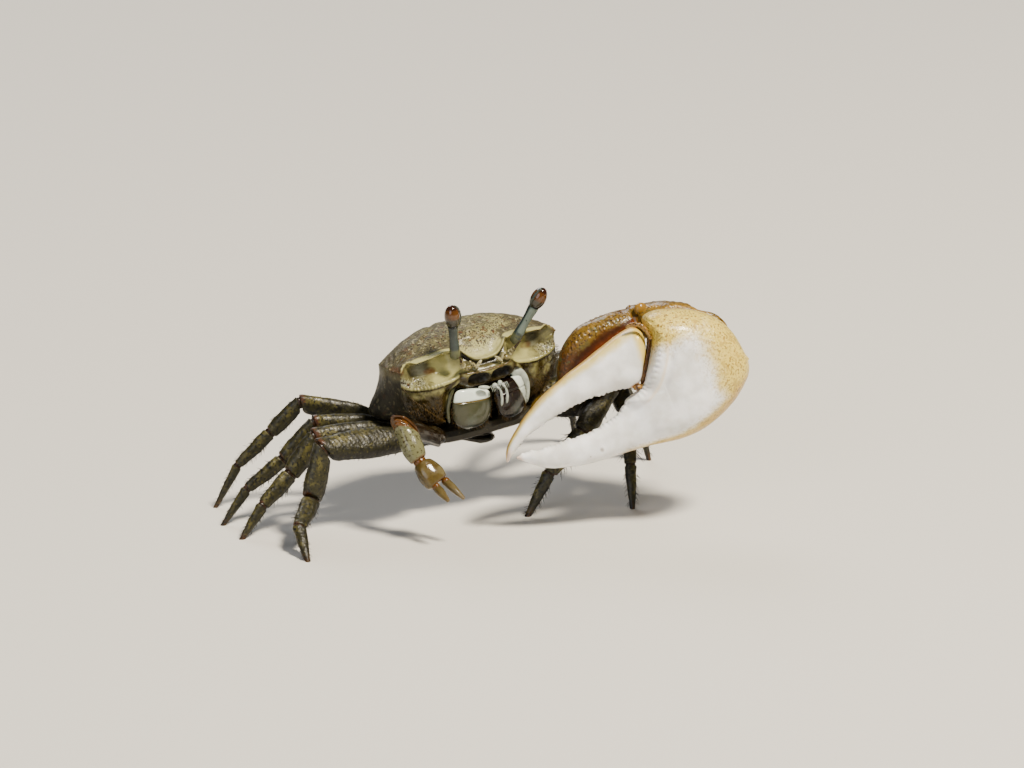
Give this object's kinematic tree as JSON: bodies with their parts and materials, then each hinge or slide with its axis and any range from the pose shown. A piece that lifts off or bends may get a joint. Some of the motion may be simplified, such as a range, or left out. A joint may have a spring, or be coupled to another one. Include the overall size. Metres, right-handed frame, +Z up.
{
  "type": "fiddler crab",
  "caption": "Male fiddler crab standing on its legs, with one very large pale claw held across its front, a small claw, stalked eyes and a wide shell.",
  "frame": {"origin": "middle of the model's box at its bottom, on the floor that the leg tips stand on", "axes": "+Z up, the crab faces -Y, and its own left side with the large claw is +X"},
  "size_m": [0.056, 0.0374, 0.0266],
  "materials": {
    "shell": "satin, mottled cream and grey-brown",
    "underside": "satin olive brown",
    "leg": "satin grey-green, mottled",
    "claw": "glossy cream white",
    "claw_arm": "glossy rust brown",
    "pincer": "glossy cream and orange",
    "mouth_plate": "glossy pale grey-green",
    "eyestalk": "glossy blue grey",
    "eye": "glossy orange brown"
  },
  "bodies": {
    "root": {"carapace": "shell", "sternum": "underside", "abdomen": "underside", "eyestalk_right": "eyestalk", "eye_right": "eye", "eyestalk_left": "eyestalk", "eye_left": "eye", "antenna_right": "underside", "antenna_left": "underside", "mouth_plate_right": "mouth_plate", "mouth_plate_left": "mouth_plate", "leg_right_1_merus": "leg", "leg_right_1_carpus": "leg", "leg_right_1_propodus": "leg", "leg_right_1_dactyl": "leg", "leg_right_2_merus": "leg", "leg_right_2_carpus": "leg", "leg_right_2_propodus": "leg", "leg_right_2_dactyl": "leg", "leg_right_3_merus": "leg", "leg_right_3_carpus": "leg", "leg_right_3_propodus": "leg", "leg_right_3_dactyl": "leg", "leg_right_4_merus": "leg", "leg_right_4_carpus": "leg", "leg_right_4_propodus": "leg", "leg_right_4_dactyl": "leg", "leg_left_1_merus": "leg", "leg_left_1_carpus": "leg", "leg_left_1_propodus": "leg", "leg_left_1_dactyl": "leg", "leg_left_2_merus": "leg", "leg_left_2_carpus": "leg", "leg_left_2_propodus": "leg", "leg_left_2_dactyl": "leg", "leg_left_3_merus": "leg", "leg_left_3_carpus": "leg", "leg_left_3_propodus": "leg", "leg_left_3_dactyl": "leg", "leg_left_4_merus": "leg", "leg_left_4_carpus": "leg", "leg_left_4_propodus": "leg", "leg_left_4_dactyl": "leg", "claw_ischium": "claw_arm", "claw_merus": "claw_arm", "claw_carpus": "claw_arm", "claw_palm": "claw", "claw_finger": "claw", "pincer_merus": "pincer", "pincer_carpus": "pincer", "pincer_hand": "pincer", "pincer_fixed_finger": "pincer", "pincer_movable_finger": "pincer"}
  },
  "joints": []
}
